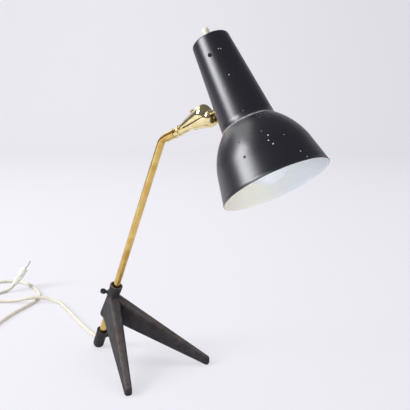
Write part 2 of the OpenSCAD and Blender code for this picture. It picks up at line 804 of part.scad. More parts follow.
// Threaded brass shell that takes the bulb's cap
module screw_shell() {
    shell_start = 86;
    shell_end = 113.4;
    wall = 0.5;
    color([0.8, 0.65, 0.35]) {
        on_shade(shell_start) tube(shell_r + wall, shell_r, shell_end - shell_start);
        on_shade(shell_end - wall) tube(shell_r + wall, 7, wall);
    }
}

// Sprung middle contact and its screw terminals on the core
module lamp_contacts() {
    plate = 1.2;
    plate_start = core_start - plate - 0.1;
    tip = 0.8;
    terminal_start = core_start + core_height + 0.1;
    terminal_apart = 6;
    color([0.8, 0.65, 0.35]) {
        on_shade(plate_start) cylinder(r = 3.5, h = plate, $fn = small_fn);
        on_shade(plate_start - tip) cylinder(r = 2, h = tip, $fn = small_fn);
        for (a = [0, 180]) on_shade(terminal_start) rotate([0, 0, a]) translate([0, terminal_apart, 0])
            cylinder(r = 2.4, h = 2, $fn = small_fn);
    }
}

// Screw cap of the bulb: rolled thread, black insulator and tip
module bulb_cap() {
    pitch = 3.6;
    turns = 5;
    roll = 1.3;
    core_r = cap_od / 2 - 0.8;
    long = bulb_cap_end - bulb_cap_start - 2;
    color([0.75, 0.74, 0.7]) on_shade(bulb_cap_start) difference() {
        union() {
            cylinder(r = core_r, h = long);
            for (i = [0 : turns - 1]) translate([0, 0, 3 + pitch * i]) rotate_extrude()
                translate([cap_od / 2 - roll, 0]) circle(r = roll, $fn = 24);
            translate([0, 0, long]) cylinder(r1 = core_r, r2 = 6, h = 3);
            translate([0, 0, long + 3]) cylinder(r = 4.5, h = contact_place - bulb_cap_end - 1);
        }
        translate([0, 0, -past]) cylinder(r = core_r - 0.8, h = long);
    }
}

// Outline of the bulb, moved inwards by an inset
module bulb_outline(inset) {
    bulb_r = bulb_od / 2;
    touch = bulb_height + bulb_r * sin(glass_cone);
    touch_r = bulb_r * cos(glass_cone);
    taper = (touch_r - glass_end_r) / tan(glass_cone);
    on_shade(bulb_height) sphere(r = bulb_r - inset);
    on_shade(touch) cylinder(r1 = touch_r - inset, r2 = glass_end_r - inset, h = taper);
    on_shade(touch + taper)
        cylinder(r = glass_end_r - inset, h = bulb_cap_start - seat - touch - taper + inset);
}

// Opal bulb: a globe that runs without a break into its tapered neck
module bulb_glass() {
    glass = 0.9;
    color([0.97, 0.96, 0.92]) difference() {
        bulb_outline(0);
        bulb_outline(glass);
    }
}

// Push switch under the closed end, with the threaded neck that comes through it
module switch_body() {
    color([0.1, 0.09, 0.08]) difference() {
        union() {
            on_shade(switch_start) cylinder(r = switch_r, h = switch_end - switch_start);
            on_shade(switch_end) cylinder(r = switch_neck_r, h = switch_neck_end - switch_end);
        }
        on_shade(button_start - button_travel - 0.5) cylinder(r = button_od / 2 + running, h = top_height);
    }
}

module switch_nut() {
    color([0.8, 0.65, 0.35]) on_shade(top_height + seat)
        tube(switch_nut_r, switch_neck_r + seat, switch_nut_height);
}

// Ivory button with a rounded end
module switch_button() {
    round_end = 1.2;
    long = top_height + button_height - button_start;
    color([0.95, 0.93, 0.85]) on_shade(button_start) rotate_extrude() {
        square([button_od / 2, long - round_end]);
        translate([0, long - round_end]) square([button_od / 2 - round_end, round_end]);
        intersection() {
            translate([button_od / 2 - round_end, long - round_end]) circle(r = round_end);
            translate([0, long - round_end]) square([button_od, round_end]);
        }
    }
}

// Two single wires through tube and sleeve, to the end of the part that doesn't turn
module stem_wires() {
    color([0.85, 0.84, 0.8]) for (y = [-1, 1])
        bent_line(wire_r, 0, gland_height - ferrule_floor, ring_end + wire_joint, y * wire_apart);
}

// The same two wires where they turn with the knuckle, past the clamp screw
module knuckle_wires() {
    start = wire_joint + 0.5;
    color([0.85, 0.84, 0.8]) on_arm(ring_end) for (y = [-1, 1]) translate([0, y * wire_apart, start])
        cylinder(r = wire_r, h = knuckle_length - ball_r - 2 - start, $fn = small_fn);
}

// Point of the head's frame, from the ball's middle, in the lamp's frame
function head_point(p) = ball_at + [p.x * cos(head_tilt) - p.z * sin(head_tilt), p.y,
    p.x * sin(head_tilt) + p.z * cos(head_tilt)];

// Wires from the stud to the switch and to the lampholder
module shade_wires() {
    start_x = -6;
    turn_x = stud_end + 1.2;
    slack = 8;
    rise = switch_start - stud_height - slack;
    enter = stud_reach - slack;
    color([0.85, 0.84, 0.8]) for (y = [-1, 1])
        bent_rod([head_point([start_x, y * stud_wire_apart, 0]),
            head_point([turn_x, y * stud_wire_apart, 0]),
            head_point([turn_x, y * stud_wire_apart, rise]),
            head_point([enter, y * stud_wire_apart * 2, rise + slack - 0.2])], wire_r);
}

// Tapered sleeve where the cord leaves the ferrule, hollowed to sit against the tube
module cord_gland() {
    root = ferrule_r + 4;
    tip_r = cord_r + 0.2;
    color([0.93, 0.92, 0.88]) difference() {
        translate(gland_from) rotate([0, 90 + gland_fall, 180 - gland_turn]) {
            translate([0, 0, tube_r]) cylinder(r = gland_r, h = root - tube_r);
            translate([0, 0, root])
                cylinder(r1 = gland_r, r2 = tip_r, h = ferrule_r + gland_length - root);
        }
        on_stem() cylinder(r = tube_r + seat * 2, h = 2 * ferrule_length);
    }
}

module mains_cord() {
    color([0.93, 0.92, 0.88]) sweep(smooth_route(cord_points, 1), cord_r);
}

module plug_lead() {
    color([0.93, 0.92, 0.88]) sweep(smooth_route(plug_points, 2), cord_r);
}

// Outside of the wound-up cord: two turns side by side with one on top
module cord_coil() {
    layer = cord_od * sin(60);
    color([0.93, 0.92, 0.88]) translate(coil_at) rotate_extrude() {
        for (x = [-1, 1]) translate([coil_r + x * cord_r, cord_r]) circle(r = cord_r, $fn = 40);
        translate([coil_r, cord_r + layer]) circle(r = cord_r, $fn = 40);
        polygon([[coil_r - cord_r, 0], [coil_r + cord_r, 0], [coil_r + cord_od - 0.4, cord_r * 1.5],
            [coil_r + cord_r * 0.9, cord_r + layer], [coil_r - cord_r * 0.9, cord_r + layer],
            [coil_r - cord_od + 0.4, cord_r * 1.5]]);
    }
}

// Strap round the turns of the coil
module coil_tie() {
    band = 1.2;
    tie_width = 9;
    high = cord_od * (1 + sin(60));
    wide = 2 * cord_od;
    color([0.2, 0.2, 0.2]) translate(coil_at + [0, -coil_r, 0]) difference() {
        translate([-tie_width / 2, -wide / 2 - band, 0]) cube([tie_width, wide + 2 * band, high + band]);
        translate([-tie_width, -wide / 2 - 0.2, -past]) cube([2 * tie_width, wide + 0.4, high + past + 0.2]);
    }
}

// Frame of the plug, +Z from the cord to the pins
module on_plug(z = 0) {
    translate(plug_foot) rotate([0, acos(plug_way.z / norm(plug_way)), atan2(plug_way.y, plug_way.x)])
        rotate([0, 0, -35]) translate([0, 0, z]) children();
}

// Flat two-pin plug with a narrow rear end
module plug_body() {
    neck = 10;
    neck_r = 6;
    side_r = 6.6;
    side_apart = 11;
    slice = 1;
    color([0.94, 0.93, 0.9]) on_plug() {
        cylinder(r1 = cord_r + 0.9, r2 = neck_r, h = neck);
        hull() for (y = [-1, 1]) translate([0, y * side_apart, plug_length / 2])
            cylinder(r = side_r, h = plug_length / 2, $fn = 32);
        hull() {
            translate([0, 0, neck - 2 * slice]) cylinder(r = neck_r, h = slice, $fn = 32);
            for (y = [-1, 1]) translate([0, y * side_apart, plug_length / 2])
                cylinder(r = side_r, h = slice, $fn = 32);
        }
    }
}

module plug_pins() {
    pin_r = 2;
    color([0.75, 0.75, 0.75]) on_plug(plug_length) for (y = [-1, 1]) translate([0, y * pin_apart / 2, 0]) {
        cylinder(r = pin_r, h = pin_length - pin_r, $fn = small_fn);
        translate([0, 0, pin_length - pin_r]) sphere(r = pin_r, $fn = small_fn);
    }
}

stem_tube();
foot_ferrule();
foot_thumbscrew();
tripod_casting();
collar_liner();
collar_thumbscrew();
arm_sleeve();
lock_ring();
knuckle_upper();
knuckle_lower();
clamp_screw();
clamp_nut();
ball_stud();
stud_saddle();
inner_saddle();
stud_nut();
shade();
neck_screws();
holder_bridge();
holder_nipple();
holder_nut();
lampholder_cap();
lampholder_skirt();
lampholder_core();
screw_shell();
lamp_contacts();
bulb_cap();
bulb_glass();
switch_body();
switch_nut();
switch_button();
stem_wires();
knuckle_wires();
shade_wires();
cord_gland();
mains_cord();
cord_coil();
coil_tie();
plug_lead();
plug_body();
plug_pins();
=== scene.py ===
# %% [markdown]
# # Tripod table lamp
#
# A brass tube leans on a two-legged casting, and a split ball knuckle carries a spun
# black shade. The packed model gives every hard part in its place. This script adds what
# the eye sees: the camera, the cord, the shade as one smooth shell, the casting with
# soft edges, and a finish for each surface. Lengths are metres in the lamp's frame: the
# origin is under the tube's foot, +X runs between the two legs, +Z is up.

# %% Load the packed model
from math import atan2, cos, hypot, pi, radians, sin, sqrt

import bmesh
import bpy
from mathutils import Matrix, Vector


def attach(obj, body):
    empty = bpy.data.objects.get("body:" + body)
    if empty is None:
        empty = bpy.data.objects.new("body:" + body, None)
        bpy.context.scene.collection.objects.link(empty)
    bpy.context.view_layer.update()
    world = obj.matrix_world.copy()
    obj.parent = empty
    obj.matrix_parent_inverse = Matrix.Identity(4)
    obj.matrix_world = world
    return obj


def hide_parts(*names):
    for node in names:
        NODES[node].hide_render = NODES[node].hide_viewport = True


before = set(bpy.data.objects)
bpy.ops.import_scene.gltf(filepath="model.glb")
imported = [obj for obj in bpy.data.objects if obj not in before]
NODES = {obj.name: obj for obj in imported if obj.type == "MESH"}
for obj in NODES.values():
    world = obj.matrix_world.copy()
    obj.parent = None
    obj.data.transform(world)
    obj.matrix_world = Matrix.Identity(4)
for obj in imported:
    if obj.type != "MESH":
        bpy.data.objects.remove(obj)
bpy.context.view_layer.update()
MM = 0.001

# %% [markdown]
# ## Camera
#
# The picture was taken from the front right, a little above the lamp. A camera can be set
# by eye, or fitted so that known points of the object fall on their picture points. This
# one was fitted to the stem, the arm, the shade's middle line, the rim and the leg tips,
# because a fitted camera makes the outlines comparable. The focal length is in pixels of
# the picture and becomes a lens in millimetres through the sensor's width.

# %% Camera
CAMERA_AT = Vector((0.8605, -0.6103, 0.4236))
CAMERA_TURN = radians(44.37)
CAMERA_FALL = radians(10.84)
FOCAL_PIXELS = 707.5
PICTURE_PIXELS = 410
SENSOR = 36.0
NEAREST = 0.05

picture_right = Vector((sin(CAMERA_TURN), cos(CAMERA_TURN), 0))
toward = Vector((cos(CAMERA_TURN), -sin(CAMERA_TURN), 0))
view_way = Vector((-cos(CAMERA_TURN) * cos(CAMERA_FALL),
                   sin(CAMERA_TURN) * cos(CAMERA_FALL), -sin(CAMERA_FALL)))
camera_data = bpy.data.cameras.new("camera")
camera_data.sensor_width = SENSOR
camera_data.lens = FOCAL_PIXELS / PICTURE_PIXELS * SENSOR
camera_data.clip_start = NEAREST
camera = bpy.data.objects.new("camera", camera_data)
bpy.context.scene.collection.objects.link(camera)
camera.location = CAMERA_AT
camera.rotation_euler = view_way.to_track_quat("-Z", "Y").to_euler()
bpy.context.scene.camera = camera
print("lens:", round(camera_data.lens, 2), "mm")

# %% [markdown]
# ## The cord
#
# A soft white mains cord. It leaves the ferrule, crosses the table to the left, passes
# over its own loop, turns behind the picture's edge, comes back as that loop, and ends in
# a coil from which a short lead runs to the plug. A cord could be a mesh, but a curve
# with a round bevel keeps one line that a later user can bend, so it stays a curve. The
# points are the ones of the part's source, in millimetres.

# %% Route of the cord
CORD_R = 3.25 * MM
GLAND_END = (-20.0, 11.3, 6.8)
LYING = 3.25
MAIN_POINTS = [
    GLAND_END, (-27.8, 15, 4.1), (-38, 18.2, 3.4), (-52, 21.5, LYING), (-71, 26, LYING),
    (-91, 31.5, LYING), (-113, 38, LYING), (-140, 46.7, LYING), (-166, 55, LYING),
    (-188, 61, LYING), (-212, 67, 3.5), (-229, 63, 5.4), (-242, 53.5, 8.6),
    (-252.5, 42, 10.1), (-262, 30, 8.8), (-272, 19, 6), (-284, 7, 3.8), (-299, -8, LYING),
    (-312, -28, LYING), (-318, -53, LYING), (-313, -80, LYING), (-298, -103, LYING),
    (-274, -121, LYING), (-246, -134, LYING), (-214, -139, LYING), (-195, -133.5, LYING),
    (-181.6, -119, LYING), (-178, -99, LYING), (-183.5, -81, LYING), (-197, -61, LYING),
    (-209, -42, LYING), (-221, -22, LYING), (-232, 0, LYING), (-242, 21, LYING),
    (-253, 42, LYING), (-269, 59, LYING), (-290, 71, LYING), (-315, 79, LYING),
    (-341, 84, LYING), (-368, 85, LYING), (-393, 75, LYING), (-410, 54, LYING),
    (-419, 29, LYING), (-424, 2, LYING), (-426, -24, LYING), (-426.5, -48, LYING)]
PLUG_POINTS = [
    (-347, -52, 7.4), (-346, -37, 5), (-345, -21, 3.4), (-344, -7, LYING), (-344, 5, LYING),
    (-344.2, 16, LYING), (-344.3, 25.7, LYING), (-344.5, 32.4, 3.9), (-344.7, 38.9, 5.9),
    (-344.9, 44.8, 9.1), (-345, 50, 13.4)]
print("points of the long run:", len(MAIN_POINTS), "of the lead:", len(PLUG_POINTS))

# %% [markdown]
# The coil is a spiral in three stages: an outer turn, an inner turn beside it, and half a
# turn that climbs into the groove between the two. Working it out from the cord's own
# radius keeps the turns touching without running into each other.

# %% Turns of the coil
COIL_AT = Vector((-385, -75, 0)) * MM
COIL_R = 38 * MM
COIL_TURNS = 2.5
COIL_STEPS = 16
INNER_TURN_FROM, INNER_TURN_EASE = 0.75, 0.5
TOP_TURN_FROM, TOP_TURN_EASE = 1.75, 0.4


def eased(turn, start, length):
    """0 before start, 1 once length turns have passed, a straight line between."""
    return min(max((turn - start) / length, 0), 1)


def coil_points():
    """Points of the outer turn, the inner turn and half a turn on top of both."""
    points = []
    outer, inner = COIL_R + CORD_R, COIL_R - CORD_R
    top = CORD_R * (1 + 2 * sin(radians(60)))
    for i in range(int(COIL_TURNS * COIL_STEPS) + 1):
        turn = i / COIL_STEPS
        into = eased(turn, INNER_TURN_FROM, INNER_TURN_EASE)
        over = eased(turn, TOP_TURN_FROM, TOP_TURN_EASE)
        radius = outer + (inner - outer) * into + (COIL_R - inner) * over
        height = CORD_R + (top - CORD_R) * over
        angle = pi + 2 * pi * turn
        points.append(COIL_AT + Vector((radius * cos(angle), radius * sin(angle), height)))
    return points


route = [Vector(p) * MM for p in MAIN_POINTS] + coil_points()
route += [Vector(p) * MM for p in PLUG_POINTS]
print("cord points:", len(route))

# %% [markdown]
# The radius sits on the points and the bevel is one metre deep, so that the curve's own
# bounds come out as large as the cord and no larger.

# %% Cord
def cord_curve(name, points, radius):
    """One open round cord through the points."""
    data = bpy.data.curves.new(name, "CURVE")
    data.dimensions = "3D"
    data.bevel_depth = 1.0
    data.bevel_resolution = 5
    data.resolution_u = 6
    spline = data.splines.new("BEZIER")
    spline.bezier_points.add(len(points) - 1)
    for point, place in zip(spline.bezier_points, points):
        point.co = place
        point.handle_left_type = "AUTO"
        point.handle_right_type = "AUTO"
        point.radius = radius
    piece = bpy.data.objects.new(name, data)
    bpy.context.scene.collection.objects.link(piece)
    return piece


cord = cord_curve("cord", route, CORD_R)
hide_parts("mains_cord", "cord_coil", "plug_lead")
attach(cord, "base")
print("cord length:", round(sum((b - a).length for a, b in zip(route, route[1:])), 3))

# %% [markdown]
# ## Frames of stem, arm and head
#
# The stem leans, the arm rises from its bend, and the shade hangs on the ball. The driving
# sizes are those of the part's source, so a chain of small frames finds the places where
# this script adds something. That is safer than typed coordinates, which would have to be
# measured again after every change.

# %% Frames
STEM_LEAN = radians(25.5)
ARM_RISE = radians(21)
HEAD_TILT = radians(33.5)
FERRULE_R, TUBE_R = 8.2, 5
FOOT_RISE = sqrt(FERRULE_R ** 2 - TUBE_R ** 2) * MM
STEM_LENGTH = 362 * MM
BALL_DISTANCE = 94.45 * MM
STUD_REACH = 51.0 * MM
STUD_HEIGHT = 119.3 * MM

stem_frame = Matrix.Translation((0, 0, FOOT_RISE)) @ Matrix.Rotation(STEM_LEAN, 4, "Y")
elbow = stem_frame @ Vector((0, 0, STEM_LENGTH))
arm_frame = Matrix.Translation(elbow) @ Matrix.Rotation(pi / 2 - ARM_RISE, 4, "Y")
ball_at = arm_frame @ Vector((0, 0, BALL_DISTANCE))
head_frame = Matrix.Translation(ball_at) @ Matrix.Rotation(-HEAD_TILT, 4, "Y")
shade_frame = head_frame @ Matrix.Translation((STUD_REACH, 0, -STUD_HEIGHT))
print("ball at", [round(x, 4) for x in ball_at])

# %% [markdown]
# ## Shader sums
#
# A finish is a sum of patterns. Linking every Math node by hand hides the idea, so `Sock`
# wraps a socket and turns Python's signs into Math nodes. Numbers on either side of a
# sign work, as in 1 - mask.

# %% Sock
class Sock:
    """A shader socket that can be added, subtracted and multiplied."""

    def __init__(self, look, socket):
        self.look = look
        self.socket = socket

    def math(self, operation, *others, clamp=False):
        made = self.look.tree.nodes.new("ShaderNodeMath")
        made.operation = operation
        made.use_clamp = clamp
        for i, value in enumerate((self, *others)):
            self.look.feed(made.inputs[i], value)
        return Sock(self.look, made.outputs[0])

    def __add__(self, other):
        return self.math("ADD", other)

    def __sub__(self, other):
        return self.math("SUBTRACT", other)

    def __mul__(self, other):
        return self.math("MULTIPLY", other)

    def __radd__(self, other):
        return self + other

    def __rsub__(self, other):
        return self * -1 + other

    def __rmul__(self, other):
        return self * other

    def clamp(self):
        return self.math("ADD", 0.0, clamp=True)

    def step(self, low, high):
        """0 below low, 1 above high, smooth between them."""
        made = self.look.node("ShaderNodeMapRange", {"interpolation_type": "SMOOTHSTEP"},
                              {"Value": self, "From Min": low, "From Max": high})
        return made["Result"]


print("signs:", [name for name in vars(Sock) if name.startswith("__r")])

# %% [markdown]
# `Look` builds one material on the plain surface shader. Its `node` method adds any node
# from its type, its settings and its sockets. Every pattern reads Object coordinates, so
# it sits in the material of the piece and stays put when a joint moves.

# %% Look
MIX_SOCKETS = {"FLOAT": (2, 0), "RGBA": (6, 2)}
SHADER_SOCKETS = {"color": "Base Color", "rough": "Roughness", "metal": "Metallic",
                  "specular": "Specular IOR Level", "subsurface": "Subsurface Weight"}


class Look:
    """One material and the helpers that fill it."""

    def __init__(self, name):
        self.material = bpy.data.materials.new(name)
        self.material.use_nodes = True
        self.tree = self.material.node_tree
        self.shader = self.tree.nodes["Principled BSDF"]

    def feed(self, socket, value):
        if isinstance(value, Sock):
            self.tree.links.new(value.socket, socket)
        elif isinstance(value, bpy.types.NodeSocket):
            self.tree.links.new(value, socket)
        else:
            socket.default_value = value

    def node(self, kind, settings=None, sockets=None):
        made = self.tree.nodes.new(kind)
        for key, value in (settings or {}).items():
            setattr(made, key, value)
        for key, value in (sockets or {}).items():
            self.feed(made.inputs[key], value)
        return {out.name: Sock(self, out) for out in made.outputs}

    def place(self):
        return self.node("ShaderNodeTexCoord")["Object"]

    def attribute(self, name):
        return self.node("ShaderNodeAttribute", {"attribute_name": name})["Fac"]

    def noise(self, scale, detail=3.0, rough=0.5):
        return self.node("ShaderNodeTexNoise", {},
                         {"Vector": self.place(), "Scale": scale, "Detail": detail,
                          "Roughness": rough})["Fac"]

    def along(self, way):
        """How far a point lies along a direction."""
        return self.node("ShaderNodeVectorMath", {"operation": "DOT_PRODUCT"},
                         {0: self.place(), 1: tuple(way)})["Value"]

    def mixed(self, kind, factor, a, b):
        first, result = MIX_SOCKETS[kind]
        made = self.tree.nodes.new("ShaderNodeMix")
        made.data_type = kind
        for place, value in ((0, factor), (first, a), (first + 1, b)):
            self.feed(made.inputs[place], value)
        return Sock(self, made.outputs[result])

    def mix(self, factor, a, b):
        """Colour a where factor is 0, colour b where it is 1."""
        return self.mixed("RGBA", factor, a, b)

    def blend(self, factor, a, b):
        """Number a where factor is 0, number b where it is 1."""
        return self.mixed("FLOAT", factor, a, b)

    def spots(self, places, ragged, edge):
        """1 inside the spots, 0 outside, with a ragged edge."""
        total = None
        for centre, radius in places:
            apart = self.node("ShaderNodeVectorMath", {"operation": "DISTANCE"},
                              {0: self.place(), 1: tuple(centre)})["Value"]
            inside = (apart + ragged * edge).step(radius * 1.1, radius * 0.7)
            total = inside if total is None else total.math("MAXIMUM", inside)
        return total

    def bump(self, height, distance, strength=1.0):
        made = self.node("ShaderNodeBump", {}, {"Height": height, "Distance": distance,
                                                "Strength": strength})
        self.feed(self.shader.inputs["Normal"], made["Normal"])

    def cover(self, factor, top):
        """Show another shader over the plain surface where factor is 1."""
        both = self.node("ShaderNodeMixShader", {},
                         {0: factor, 1: self.shader.outputs[0], 2: top})["Shader"]
        self.feed(self.tree.nodes["Material Output"].inputs["Surface"], both)

    def set(self, **values):
        for key, value in values.items():
            self.feed(self.shader.inputs[SHADER_SOCKETS[key]], value)


print("shader sockets:", ", ".join(SHADER_SOCKETS))

# %% [markdown]
# Colours are easiest to read off a picture as numbers from 0 to 255, but a shader works
# in linear light, so `rgb` converts them. `dress` then puts a finished look on a piece.

# %% Colours and dressing
def rgb(r, g, b):
    """An sRGB colour, 0 to 255, as linear light with alpha 1."""
    parts = [c / 255 for c in (r, g, b)]
    line = [c / 12.92 if c <= 0.04045 else ((c + 0.055) / 1.055) ** 2.4 for c in parts]
    return (*line, 1.0)


def dress(piece, look):
    """Give every slot of a piece this look."""
    if not piece.material_slots:
        piece.data.materials.append(look.material)
    for held in piece.material_slots:
        held.material = look.material


print("middle grey as linear light:", [round(c, 3) for c in rgb(128, 128, 128)])

# %% [markdown]
# ## Brass
#
# Old polished brass: a warm metal with slow changes of tone and brown tarnish that
# gathers where nobody rubs it. A single colour with full metallic would look like new
# plate. Two tones under a slow noise, tarnish from a second noise and a faint bump give
# the age. The tube, the polished knuckle and the small parts differ only in tone,
# roughness and how much tarnish they carry.

# %% Brass
TARNISH = rgb(108, 78, 36)
TARNISH_ROUGH = 0.25
BRASS_GRAIN = 0.00004


def brass(name, light, dark, rough, tarnish):
    look = Look(name)
    cloud = look.noise(45.0, 4.0, 0.6)
    fine = look.noise(900.0, 2.0, 0.5)
    worn = look.noise(160.0, 5.0, 0.7)
    spots = worn.step(0.58, 0.72) * tarnish
    tone = look.mix(cloud.step(0.35, 0.7), light, dark)
    look.set(color=look.mix(spots, tone, TARNISH), metal=1.0,
             rough=(cloud * 0.08 + rough) + spots * TARNISH_ROUGH)
    look.bump(fine, BRASS_GRAIN, 0.35)
    return look


brass_tube = brass("brass_tube_look", rgb(230, 200, 124), rgb(204, 162, 84), 0.17, 0.4)
brass_joint = brass("brass_joint_look", rgb(248, 232, 178), rgb(232, 204, 140), 0.10, 0.2)
brass_small = brass("brass_small_look", rgb(226, 194, 126), rgb(186, 148, 82), 0.22, 0.6)
BRASS_PIECES = (
    (brass_tube, ("stem_tube", "arm_sleeve")),
    (brass_joint, ("knuckle_upper", "knuckle_lower", "ball_stud")),
    (brass_small, ("lock_ring", "collar_liner", "clamp_screw", "clamp_nut", "stud_saddle",
                   "switch_nut", "screw_shell", "lamp_contacts")))
for look, nodes in BRASS_PIECES:
    for node in nodes:
        dress(NODES[node], look)
print("brass pieces:", sum(len(nodes) for _, nodes in BRASS_PIECES))

# %% [markdown]
# ## Cast iron tripod
#
# Sand casting leaves no sharp edge. A bevel on every edge could copy that, but it breaks
# where blades, hub and collar run into each other. A voxel skin over a copy of the packed
# piece, smoothed a few times, rounds them all alike. The bore in that skin is then opened
# a little, so that the casting turns clear of its liner.

# %% Casting with soft edges
SKIN_VOXEL = 0.0008
SKIN_ROUNDS = 5
SKIN_BORE_R = 7.35 * MM
BORE_FROM = 30 * MM


def soft_skin(node, name):
    """A closed skin over a CAD node with its hard edges rounded off."""
    piece = bpy.data.objects.new(name, NODES[node].data.copy())
    bpy.context.scene.collection.objects.link(piece)
    remesh = piece.modifiers.new("skin", "REMESH")
    remesh.mode = "VOXEL"
    remesh.voxel_size = SKIN_VOXEL
    soften = piece.modifiers.new("soften", "SMOOTH")
    soften.factor = 0.5
    soften.iterations = SKIN_ROUNDS
    bpy.context.view_layer.update()
    shown = piece.evaluated_get(bpy.context.evaluated_depsgraph_get())
    skin = bpy.data.meshes.new_from_object(shown)
    piece.modifiers.clear()
    piece.data = skin
    skin.name = name
    for polygon in skin.polygons:
        polygon.use_smooth = True
    return piece


def open_bore(piece):
    """Push the skin of the bore away from the stem's line, clear of the liner."""
    to_stem = stem_frame.inverted()
    for corner in piece.data.vertices:
        local = to_stem @ corner.co
        reach = hypot(local.x, local.y)
        if reach < SKIN_BORE_R and local.z > BORE_FROM:
            local.x, local.y = local.x * SKIN_BORE_R / reach, local.y * SKIN_BORE_R / reach
            corner.co = stem_frame @ local


casting = soft_skin("tripod_casting", "casting")
open_bore(casting)
print("casting:", len(casting.data.polygons), "faces")

# %% [markdown]
# Paint rubs off first on ridges. The casting is also painted lighter where light falls on it:
# on faces that look up, as painted top light, and along ridges, as a painted highlight. A
# shader can't measure that well, so it is worked out once for each corner of the mesh: how
# far it faces up, and how far it stands out from its neighbours. The sum, part wear and part
# painted light, is kept as a point attribute.

# %% Where the casting is worn or painted lighter
PAINTED_TOP_LIGHT, RIDGE_WEAR_AND_HIGHLIGHT = 0.55, 2.5


def add_wear_and_top_light(piece):
    """Point attribute: painted top light where a corner faces up, plus wear and painted
    highlight where the skin bends.
    """
    made = bmesh.new()
    made.from_mesh(piece.data)
    made.normal_update()
    values = []
    for corner in made.verts:
        around = [edge.other_vert(corner) for edge in corner.link_edges]
        middle = sum((other.co for other in around), Vector()) / max(len(around), 1)
        reach = sum(edge.calc_length() for edge in corner.link_edges) / max(len(around), 1)
        bend = (corner.co - middle).dot(corner.normal) / max(reach, 1e-6)
        # The faces-up term is painted top light; the bend term is ridge wear and painted
        # highlight.
        values.append(PAINTED_TOP_LIGHT * max(corner.normal.z, 0) ** 2 + RIDGE_WEAR_AND_HIGHLIGHT * max(bend, 0))
    made.free()
    piece.data.attributes.new("wear_and_top_light", "FLOAT", "POINT").data.foreach_set("value", values)
    return max(values)


print("most worn corner:", round(add_wear_and_top_light(casting), 2))
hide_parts("tripod_casting")
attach(casting, "tripod")

# %% [markdown]
# The finish is thin black paint over sandy iron. Where that attribute is high the paint gives
# way to a brownish grey: bare iron on worn ridges, and painted light on faces that look up
# and along ridges. A fine grain in the border makes it look worn through and not sprayed.
# Three noises of different size also drive the bump: lumps, grain and sand.

# %% Cast iron look
cast = Look("cast_look")
grain = cast.noise(900.0, 4.0, 0.65)
sand = cast.noise(1700.0, 3.0, 0.7)
patch = cast.noise(95.0, 5.0, 0.62)
wear_and_top_light = cast.attribute("wear_and_top_light")
# Mask of worn paint, plus painted light on upward faces and a painted highlight on ridges.
worn_or_lit = (wear_and_top_light + (patch - 0.5) * 0.35 + (grain - 0.5) * 0.9).step(0.15, 0.75)
paint = cast.mix(patch.step(0.35, 0.65), rgb(27, 24, 28), rgb(48, 43, 45))
paint = cast.mix(sand.step(0.55, 0.72) * 0.5, paint, rgb(104, 94, 90))
bare_or_lit = cast.mix(sand.step(0.4, 0.65), rgb(78, 69, 66), rgb(120, 107, 102))
cast.set(color=cast.mix(worn_or_lit, paint, bare_or_lit),
         rough=cast.blend(worn_or_lit, 0.6, 0.46) + grain * 0.12, specular=0.5, metal=0.0)
cast.bump(grain * 0.5 + patch * 0.4 + sand * 0.3, 0.0008, 0.9)
dress(casting, cast)
print("cast iron nodes:", len(cast.tree.nodes))

# %% [markdown]
# The ferrule and the two flat-headed screws are smaller castings with more paint left, so
# they get a darker finish of their own with one grain and a few paler patches.

# %% Small black iron parts
black_iron = Look("black_iron_look")
foot_grain = black_iron.noise(700.0, 4.0, 0.6)
foot_patch = black_iron.noise(150.0, 3.0, 0.6)
foot_tone = black_iron.mix(foot_patch.step(0.5, 0.75), rgb(22, 21, 22), rgb(58, 52, 48))
black_iron.set(color=foot_tone, rough=foot_grain * 0.2 + 0.42)
black_iron.bump(foot_grain, 0.0003, 0.6)
BLACK_PIECES = ("foot_ferrule", "foot_thumbscrew", "collar_thumbscrew")
for node in BLACK_PIECES:
    dress(NODES[node], black_iron)
print("black iron pieces:", len(BLACK_PIECES))

# %% [markdown]
# ## The spun shade
#
# A metal spinner presses a turning disc over a former, so every cut through the middle
# line is the same outline. The outline here is walked from the rim over the flare, the
# dome's arc, the sharp crease and the tapered neck to the hole in the closed end. The
# sizes are the ones of the part's source, in millimetres.

# %% Outline of the shade
RIM_R, FLARE_R, FLARE_H = 65.3, 57.6, 36.0
CREASE_R, CREASE_H = 33.0, 77.5
TOP_R, TOP_H = 23.2, 194.0
DOME_MIDDLE = (46.0, 62.0)
TOP_EDGE = 3.0
HOLE_R = 5.15
FLARE_STEPS, DOME_STEPS, NECK_STEPS, EDGE_STEPS = 10, 26, 14, 6


def circle_middle(a, b, c):
    """Middle of the circle through three points."""
    d = 2 * (a[0] * (b[1] - c[1]) + b[0] * (c[1] - a[1]) + c[0] * (a[1] - b[1]))
    sa, sb, sc = (p[0] ** 2 + p[1] ** 2 for p in (a, b, c))
    return ((sa * (b[1] - c[1]) + sb * (c[1] - a[1]) + sc * (a[1] - b[1])) / d,
            (sa * (c[0] - b[0]) + sb * (a[0] - c[0]) + sc * (b[0] - a[0])) / d)


def on_circle(middle, radius, angle):
    return (middle[0] + radius * cos(angle), middle[1] + radius * sin(angle))


